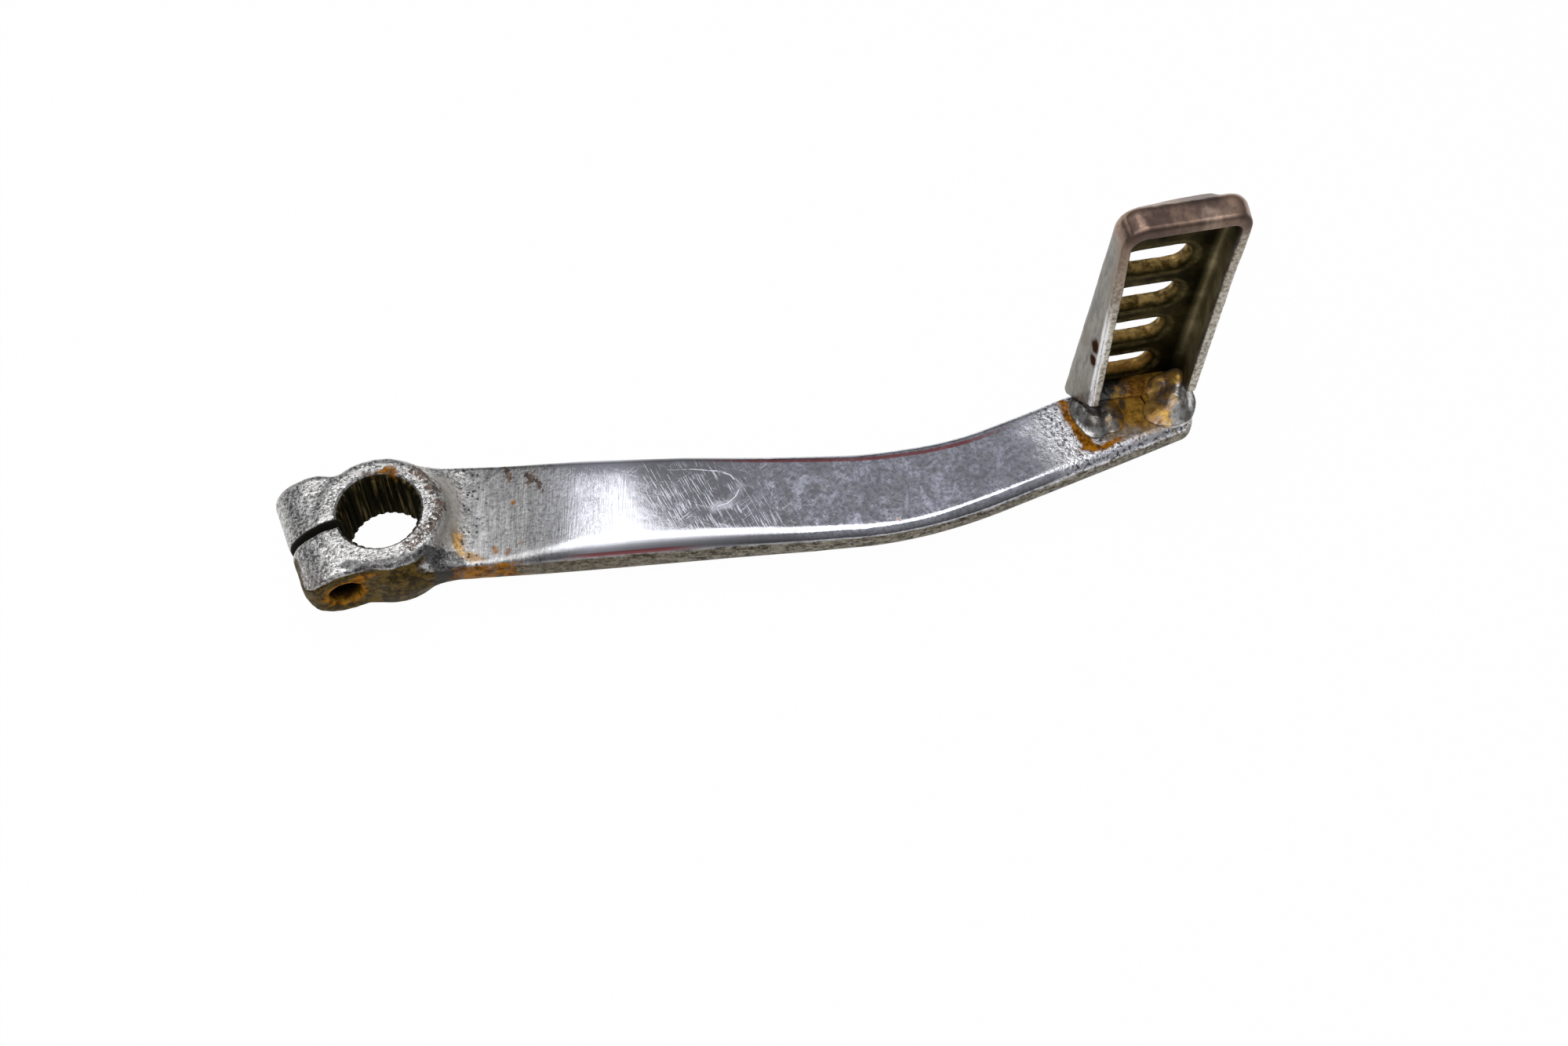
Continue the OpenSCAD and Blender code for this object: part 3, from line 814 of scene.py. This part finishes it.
def arm_places(k):
    """Textures of the arm, and masks by place: the flanks, the bore, the slit and the bolt hole."""
    k.keep_fields("polish", "boss", "tip", "pits", "dirt", "smears", "scratched")
    k.keep_textures(1500, 650, 110)
    k.x, y, z = add(k.t, "SeparateXYZ", {0: k.place}).outputs
    k.facing = add(k.t, "SeparateXYZ", {0: add(k.t, "NewGeometry").outputs["Normal"]}).outputs["Z"]
    k.drawn = k.streaks((420, 1100, 1100), 4, 0.66)
    k.brushed = k.streaks((3000, 170, 170), 4, 0.65, 0.06)
    steep = k.step(k.swayed(k.facing, k.drawn, 0.30), 0.52, 0.32)
    k.side = k.mul(steep, k.most(k.place_step(k.x, 15.0, 17.5), k.dirt))
    in_bore = k.place_step(k.root_sum(k.x, y), TOOTH_ROOT + 0.38, TOOTH_ROOT + 0.16)
    k.bore = k.mul(in_bore, k.place_step(z, BOSS_H - 0.14, BOSS_H - 0.30))
    c, s = math.cos(EAR_A), math.sin(EAR_A)
    es = k.plus(k.mul(k.x, c), k.mul(y, s))
    eb = k.plus(k.mul(k.x, -s), k.mul(y, c))
    in_slit = k.place_step(k.math("ABSOLUTE", eb), SLIT_HALF + 0.25, SLIT_HALF + 0.05)
    k.slit = k.mul(in_slit, k.place_step(es, 6.0, 7.0))
    bolt = k.root_sum(k.math("SUBTRACT", z, MID * MM), k.math("SUBTRACT", es, PINCH * MM))
    in_hole = k.place_step(bolt, BOLT_R + 0.4, BOLT_R + 0.2)
    k.hole = k.mul(in_hole, k.place_step(es, SLIT_FROM, SLIT_FROM + 1), k.less(k.slit))
    k.hole_mouth = k.place_step(eb, 8.5, 11.8)


def chrome(k):
    """Polished metal, clouded by pale smears and dark specks past the scratched stretch."""
    smear = k.noise(190, 8, 0.74, 0.9, k.scaled((1.0, 0.7, 1.0), 0.5))
    cloud = k.noise(380, 5, 0.65, 0.5, k.scaled((0.6, 1.0, 1.0), 0.9))
    smudged = k.most(k.step(smear, 0.47, 0.59), k.mul(k.step(cloud, 0.48, 0.64), 0.7))
    k.smudge = k.mul(k.smears, smudged, k.step(k.facing, 0.75, 0.95))
    color = k.blend(k.step(k.broad, 0.3, 0.7), (0.44, 0.445, 0.475), (0.56, 0.565, 0.62))
    color = k.blend(k.mul(k.smudge, 0.8), color, (0.71, 0.73, 0.86))
    specks = k.step(k.noise(1100, 5, 0.75), 0.46, 0.58)
    color = k.blend(k.mul(specks, k.smears, 0.6), color, (0.24, 0.24, 0.27))
    return k.blend(k.mul(k.scratched, 0.7), color, (0.28, 0.28, 0.30))


def bare_metal(k):
    """Speckled casting on the boss, and the worn neck beside it."""
    cast = k.blend(k.step(k.grain, 0.36, 0.60), (0.16, 0.155, 0.15), (0.62, 0.615, 0.60))
    glitter = k.step(k.noise(2100, 2, 0.5), 0.56, 0.64)
    cast = k.blend(k.mul(glitter, 0.8), cast, (0.97, 0.97, 0.96))
    cast = k.blend(k.mul(k.step(k.broad, 0.52, 0.70), k.boss, 0.45), cast, (0.33, 0.27, 0.23))
    bands = k.streaks((150, 16, 16), 3, 0.6)
    neck = k.blend(k.step(bands, 0.36, 0.64), (0.15, 0.15, 0.152), (0.42, 0.42, 0.425))
    return k.blend(k.mul(k.less(k.boss), 0.75), cast, neck)


def flank_metal(k):
    """The blade's narrow sides: drawn streaks with pale grains, dark pits and more brown near the boss."""
    color = k.blend(k.step(k.drawn, 0.34, 0.66), (0.032, 0.026, 0.015), (0.25, 0.22, 0.17))
    color = k.blend(k.mul(k.step(k.grain, 0.52, 0.62), 0.5), color, (0.36, 0.34, 0.30))
    color = k.blend(k.mul(k.step(k.coarse, 0.44, 0.36), 0.8), color, (0.03, 0.026, 0.018))
    return k.blend(k.place_step(k.x, 75, 30, 0.0, 0.45), color, (0.085, 0.062, 0.030))


def arm_metal(k):
    color = k.blend(k.polish, bare_metal(k), chrome(k))
    worn = k.mul(k.less(k.boss), k.less(k.polish), k.step(k.brushed, 0.56, 0.40), 0.45)
    color = k.blend(worn, color, (0.14, 0.14, 0.14))
    # White metal and dark grit at the tip, beside the pad
    grit = k.mul(k.tip, k.step(k.grain, 0.48, 0.40))
    color = k.blend(k.mul(grit, k.step(k.noise(420), 0.40, 0.56), 0.85), color, (0.10, 0.095, 0.095))
    color = k.blend(k.mul(k.tip, k.less(grit), 0.8), color, (0.93, 0.94, 1.0))
    return k.blend(k.side, color, flank_metal(k))


def arm_stains_and_painted_light(k, color):
    """Painted red reflections, pale metal, dirt with painted shade, golden stains and their crack, brown
    flakes, painted shade and pits.
    """
    # Painted red reflection: thin red lines along the blade's edges
    color = k.blend(k.mul(k.field("red"), k.thin("red_line", 0.42), 0.85), color, (0.36, 0.085, 0.085))
    color = k.blend(k.mul(k.field("pale"), 0.85), color, (0.43, 0.41, 0.37))
    muck_and_shade = k.blend(k.step(k.coarse, 0.4, 0.62), (0.030, 0.018, 0.003), (0.14, 0.088, 0.016))
    # Brown dirt with painted shade, only on the steep near sides of the boss
    color = k.blend(k.mul(k.dirt, k.step(k.facing, 0.6, 0.3), 0.95), color, muck_and_shade)
    golden = k.blend(k.step(k.coarse, 0.38, 0.64), (0.27, 0.125, 0.010), (0.60, 0.33, 0.045))
    color = k.blend(k.mul(k.field("stain"), k.step(k.broad, 0.25, 0.6, 0.9, 1.0)), color, golden)
    color = k.blend(k.mul(k.field("crack"), k.thin("crack_line", 0.16)), color, (0.012, 0.008, 0.004))
    flaky = k.blend(k.step(k.coarse, 0.4, 0.6), (0.035, 0.025, 0.02), (0.18, 0.12, 0.085))
    k.brown = k.ragged("brown", k.noise(1000, 4, 0.7, 0.5), 2.8, 0.12)
    color = k.blend(k.mul(k.brown, 0.92), color, flaky)
    # Painted shade: dark reflection on the boss's rim, shadow in its corner and shade under the pad
    color = k.blend(k.mul(k.ragged("soot", k.coarse, 1.0, 0.3), 0.8), color, (0.05, 0.05, 0.052))
    pit = add(k.t, "TexVoronoi", {"Vector": k.place, "Scale": 1050})
    chance = k.step(add(k.t, "SeparateColor", {0: pit.outputs["Color"]}).outputs[0], 0.50, 0.54)
    where = k.most(k.pits, k.mul(k.less(k.polish), 0.25), k.mul(k.tip, 0.6))
    k.pitted = k.mul(k.step(pit.outputs["Distance"], 0.40, 0.24), chance, where)
    return k.blend(k.mul(k.pitted, 0.9), color, (0.04, 0.036, 0.033))


def arm_openings(k, color):
    """The olive bore, rust, painted shade in the slit and deep in the bolt hole, and the hole's rusty mouth.
    """
    grooves = k.streaks((1100, 1100, 70), 3, 0.6)
    olive = k.blend(k.step(grooves, 0.50, 0.68), (0.016, 0.015, 0.007), (0.20, 0.15, 0.065))
    color = k.blend(k.bore, color, olive)
    k.rust = k.ragged("rust", k.noise(620, 5, 0.7), 1.7, 0.5, 0.85)
    orange = k.blend(k.step(k.coarse, 0.36, 0.64), (0.105, 0.037, 0.002), (0.43, 0.17, 0.011))
    color = k.blend(k.mul(k.rust, k.step(k.broad, 0.35, 0.6, 1.15, 1.4)), color, orange)
    # Painted shade: the slit's walls are coloured near black
    color = k.blend(k.slit, color, (0.035, 0.032, 0.025))
    mouth = k.blend(k.step(k.coarse, 0.42, 0.6), (0.12, 0.05, 0.006), (0.38, 0.19, 0.025))
    # Painted shade deep in the bolt hole, with rust at its mouth
    return k.blend(k.hole, color, k.blend(k.hole_mouth, (0.012, 0.010, 0.005), mouth))


def arm_scratches(k):
    """Pale scratches of the chrome: short ones in a band, fine hairs, and the bent one with its haze."""
    lines = k.streaks((4600, 210, 1), 2, 0.5, -0.42)
    short = k.mul(k.step(lines, 0.56, 0.61), k.scratched, k.step(k.noise(240), 0.32, 0.52))
    both_ways = [k.step(k.streaks((4600, 190, 1), 2, 0.5, turn), 0.60, 0.66) for turn in (0.9, -1.2)]
    hairs = k.mul(k.most(*both_ways), k.step(k.noise(260), 0.38, 0.6), 0.38)
    fading = k.place_step(k.x, 56, 67, 0.25, 0.8)
    hook = k.mul(k.field("hook"), k.thin("hook_line", 0.13), k.step(k.noise(700), 0.40, 0.50), fading)
    haze = k.mul(k.field("haze"), k.step(k.noise(330, 5, 0.7), 0.30, 0.70), 0.45)
    top_face = k.mul(k.step(k.facing, 0.90, 0.97), k.polish)
    return k.mul(top_face, k.most(k.mul(short, 0.6), hairs, hook, haze))


def arm_roughness(k, marks, dull):
    rough = k.level(k.polish, k.step(k.grain, 0.3, 0.7, 0.26, 0.50), k.level(k.smudge, 0.08, 0.16))
    combed_edge = k.mul(k.step(k.facing, 0.965, 0.90), k.polish, k.place_step(k.x, 85, 55))
    layers = ((combed_edge, 0.40), (k.most(k.side, k.dirt), 0.48), (marks, 0.38), (k.tip, 0.30), (dull, 0.72))
    for mask, value in layers:
        rough = k.level(mask, rough, value)
    return rough


def arm_relief(k):
    """Bumps, from the coarse casting to the fine pits, each on top of the last."""
    not_side = k.less(k.side)
    cast = k.mul(k.less(k.polish), not_side, k.step(k.boss, 0.0, 1.0, 0.25, 0.9))
    normal = k.bump(k.grain, 0.20, cast)
    combed = k.mul(k.less(k.boss), not_side, k.place_step(k.x, 40, 50, 1.0, 0.12))
    normal = k.bump(k.brushed, 0.04, combed, normal)
    hazy = k.mul(k.most(k.smears, k.mul(k.scratched, 0.4)), not_side)
    normal = k.bump(k.noise(900, 4, 0.65), 0.02, hazy, normal)
    normal = k.bump(k.drawn, 0.12, k.mul(k.side, 0.6), normal)
    normal = k.bump(k.noise(1600, 3, 0.6), 0.16, k.mul(k.tip, 0.85), normal)
    return k.bump(k.most(k.pitted, k.mul(k.brown, 0.4)), 0.12, -0.7, normal)


def arm_look():
    k = Look("worn_chrome")
    arm_places(k)
    color = arm_openings(k, arm_stains_and_painted_light(k, arm_metal(k)))
    marks = arm_scratches(k)
    color = k.blend(k.mul(marks, 0.75), color, (0.84, 0.85, 0.95))
    dull = k.most(k.rust, k.mul(k.brown, 0.6), k.bore, k.hole, k.slit)
    stained = k.most(k.mul(k.dirt, 0.95), k.mul(k.field("stain"), 0.6), k.mul(k.field("pale"), 0.8))
    unshiny = k.most(dull, stained)
    metal = k.less(k.mul(unshiny, 0.85))
    return k.finish(color, metal, arm_roughness(k, marks, dull), arm_relief(k), unshiny)


def sheet_metal(k):
    """The tray's outside and its walls' rims, warmer towards the top."""
    gray = k.blend(k.step(k.strokes, 0.36, 0.64), (0.11, 0.103, 0.090), (0.29, 0.275, 0.245))
    color = k.blend(k.mul(k.step(k.broad, 0.46, 0.66), 0.6), gray, (0.17, 0.135, 0.095))
    pale = k.blend(k.step(k.grain, 0.36, 0.62), (0.20, 0.18, 0.15), (0.54, 0.50, 0.43))
    color = k.blend(k.rim, color, k.blend(k.mul(k.warm, 0.85), pale, (0.20, 0.135, 0.09)))
    return k.blend(k.mul(k.warm, k.less(k.rim), 0.6), color, (0.20, 0.13, 0.075))


def tray_inside(k, color):
    """The dark olive inside of the tray, darker towards its foot, with its paler sides and the ochre lips of
    its slots.
    """
    flank = k.blend(k.step(k.broad, 0.36, 0.64), (0.20, 0.165, 0.08), (0.48, 0.40, 0.23))
    olive = k.blend(k.step(k.broad, 0.36, 0.64), (0.009, 0.007, 0.002), (0.048, 0.037, 0.012))
    olive = k.blend(k.mul(k.flank, 0.8), olive, flank)
    # The inside is darker towards the tray's foot
    olive = k.blend(k.mul(k.low, 0.7), olive, (0.006, 0.004, 0.001))
    color = k.blend(k.inside, color, olive)
    ochre = k.blend(k.step(k.coarse, 0.36, 0.64), (0.10, 0.062, 0.013), (0.50, 0.34, 0.12))
    ochre = k.blend(k.mul(k.low, 0.5), ochre, (0.42, 0.20, 0.03))
    color = k.blend(k.mul(k.crest, k.step(k.coarse, 0.40, 0.60, 0.1, 0.45)), color, (0.16, 0.125, 0.05))
    return k.blend(k.mul(k.lip, 0.92), color, ochre)


def top_bronze(k, color):
    """The bronze top edge of the pad, with its dark rim and a lit patch."""
    cloudy = k.streaks((200, 110, 110), 4, 0.6)
    bronze = k.blend(k.step(cloudy, 0.36, 0.70), (0.18, 0.12, 0.10), (0.50, 0.34, 0.25))
    color = k.blend(k.mul(k.top, 0.95), color, bronze)
    color = k.blend(k.mul(k.top, k.rim, 0.6), color, (0.07, 0.045, 0.035))
    lit = k.step(k.streaks((420, 120, 120), 3, 0.6), 0.36, 0.64, 0.2, 0.9)
    return k.blend(k.mul(k.sheen, lit), color, (0.72, 0.54, 0.42))


def pad_look():
    k = Look("stained_sheet")
    k.keep_textures(1300, 600, 120)
    k.keep_fields("inside", "lip", "crest", "top", "spots", "rim", "warm", "low", "glint", "flank", "sheen")
    k.strokes = k.streaks((1700, 700, 170), 4, 0.62)
    color = top_bronze(k, tray_inside(k, sheet_metal(k)))
    color = k.blend(k.spots, color, (0.045, 0.018, 0.009))
    cells = add(k.t, "TexVoronoi", {"Vector": k.place, "Scale": 520}).outputs["Distance"]
    freckle = k.mul(k.step(cells, 0.22, 0.12), k.less(k.inside), 0.35)
    color = k.blend(freckle, color, (0.06, 0.045, 0.03))
    color = k.blend(k.mul(k.glint, k.step(k.strokes, 0.34, 0.5, 0.4, 0.95)), color, (0.75, 0.74, 0.72))
    rough = k.level(k.inside, k.step(k.strokes, 0.3, 0.7, 0.28, 0.44), 0.5)
    rough = k.level(k.mul(k.top, k.less(k.inside)), rough, k.level(k.rim, 0.32, 0.55))
    rough = k.level(k.glint, rough, 0.2)
    dull = k.most(k.inside, k.spots, k.lip)
    metal = k.less(k.most(k.mul(dull, 0.55), k.spots))
    grainy = k.bump(k.grain, 0.08, 0.45)
    stroked = k.bump(k.strokes, 0.06, k.mul(k.less(k.inside), k.less(k.top), 0.45), grainy)
    return k.finish(color, metal, rough, stroked, dull)


def weld_look(name, bright, lean, start):
    """Weld metal, stained beyond a place along the direction lean."""
    k = Look(name)
    broad = k.noise(260, 4, 0.6)
    dark_metal = tuple(0.35 * bright * c for c in (1, 0.92, 0.82))
    shine = k.blend(k.step(k.noise(500, 4, 0.6), 0.38, 0.62), dark_metal, (bright, bright, 0.98 * bright))
    golden = k.blend(k.step(broad, 0.4, 0.62), (0.20, 0.085, 0.008), (0.58, 0.34, 0.06))
    reach = add(k.t, "VectorMath", {0: k.place, 1: lean}, operation="DOT_PRODUCT").outputs["Value"]
    stained = k.place_step(k.swayed(reach, broad, 12 * MM), start - 2, start + 2)
    color = k.blend(k.mul(stained, 0.9), shine, golden)
    rough = k.level(stained, k.step(broad, 0.3, 0.7, 0.22, 0.40), 0.42)
    folds = k.bump(k.noise(330, 2, 0.5, 0.6), 0.5, 0.6)
    grainy = k.bump(k.noise(1500, 3, 0.6), 0.10, 0.5, folds)
    return k.finish(color, k.level(stained, 0.85, 0.75), rough, grainy, k.mul(stained, 0.6))


# Each piece with the node that it replaces, its slot and its material
PIECES = (
    (arm, "arm", "forging", arm_look()),
    (pad, "pad", "pad_sheet", pad_look()),
    (left, "left_weld", "weld_metal", weld_look("weld_silver", 0.38, (1, 0, 0), 148.0)),
    (right, "right_weld", "weld_metal", weld_look("weld_gilt", 0.64, (-1, 0, 0.8), -149.3)),
    (run, "foot_weld", "stained_weld", weld_look("weld_brown", 0.05, (1, 0, 0), 150.0)),
)
for obj, node, slot_name, look in PIECES:
    obj.data.materials.clear()
    obj.data.materials.append(look)
    obj.data.shade_smooth()
    if obj is arm:
        obj.data.set_sharp_from_angle(angle=math.radians(42))
    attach(obj, "root")
    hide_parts(node)


# Floor, light and camera, in metres

FLOOR_SIZE, FLOOR_AT = 3, (0.08, 0, -0.0006)
AIR_LOW, AIR_HIGH = 0.12, 0.38
# One large softbox overhead, turned so that its far edge crosses the blade's reflection at a slant
BOX_TURN = math.radians(-45)
BOX_LONG, BOX_DEEP, BOX_UP = 0.8, 1.0, 0.912
BOX_CORNER = (-0.040, 0.589)
BOX_GLOW = 2.6
CAMERA_AT = (0.0657, -0.2177, 0.3858)
CAMERA_TILT, CAMERA_TURN = math.radians(29.54), math.radians(-3.7)
LENS, SENSOR = 50, 36


def floor_look():
    """White where the camera or a reflection sees it, and almost white in the light that it gives back."""
    k = Look("plain_floor")
    ray = add(k.t, "LightPath")
    seen = k.most(ray.outputs["Is Camera Ray"], ray.outputs["Is Glossy Ray"])
    plain = add(k.t, "BsdfDiffuse", {"Color": (0.95, 0.95, 0.95, 1)})
    white = add(k.t, "Emission", {"Color": (1, 1, 1, 1), "Strength": 1.0})
    both = add(k.t, "MixShader", {0: k.mul(seen, 0.98), 1: plain.outputs[0], 2: white.outputs[0]})
    add(k.t, "OutputMaterial", {"Surface": both.outputs[0]})
    return k.mat


def lay_floor():
    bpy.ops.mesh.primitive_plane_add(size=FLOOR_SIZE, location=FLOOR_AT)
    floor = bpy.context.object
    floor.name = "floor"
    floor.data.materials.append(floor_look())


def fill_room():
    """Even air that is brighter overhead than at the horizon."""
    world = bpy.data.worlds.new("room")
    bpy.context.scene.world = world
    world.use_nodes = True
    tree = world.node_tree
    tree.nodes.clear()
    height = add(tree, "SeparateXYZ", {0: add(tree, "TexCoord").outputs["Generated"]}).outputs["Z"]
    ins = {"Value": height, "From Min": 0.0, "From Max": 0.9, "To Min": AIR_LOW, "To Max": AIR_HIGH}
    rise = add(tree, "MapRange", ins, interpolation_type="SMOOTHSTEP")
    air = add(tree, "Background", {"Color": (1.0, 1.0, 1.05, 1), "Strength": rise.outputs[0]})
    add(tree, "OutputWorld", {"Surface": air.outputs[0]})


def hang_softbox():
    edge = np.array([math.cos(BOX_TURN), math.sin(BOX_TURN)])
    inward = np.array([math.sin(BOX_TURN), -math.cos(BOX_TURN)])
    middle = np.array(BOX_CORNER) + edge * BOX_LONG / 2 + inward * BOX_DEEP / 2
    lamp = bpy.data.lights.new("overhead", "AREA")
    lamp.shape = "RECTANGLE"
    lamp.size, lamp.size_y = BOX_LONG, BOX_DEEP
    lamp.energy = BOX_GLOW * math.pi * BOX_LONG * BOX_DEEP
    overhead = bpy.data.objects.new("overhead", lamp)
    overhead.location = (*middle, BOX_UP)
    overhead.rotation_euler = (0, 0, BOX_TURN)
    bpy.context.scene.collection.objects.link(overhead)


def place_camera():
    camera = bpy.data.objects.new("camera", bpy.data.cameras.new("camera"))
    bpy.context.scene.collection.objects.link(camera)
    camera.data.lens, camera.data.sensor_width = LENS, SENSOR
    camera.data.clip_start = 0.01
    camera.location = CAMERA_AT
    camera.rotation_euler = (CAMERA_TILT, 0, CAMERA_TURN)
    bpy.context.scene.camera = camera
    bpy.context.scene.view_settings.view_transform = "Standard"


lay_floor()
fill_room()
hang_softbox()
place_camera()
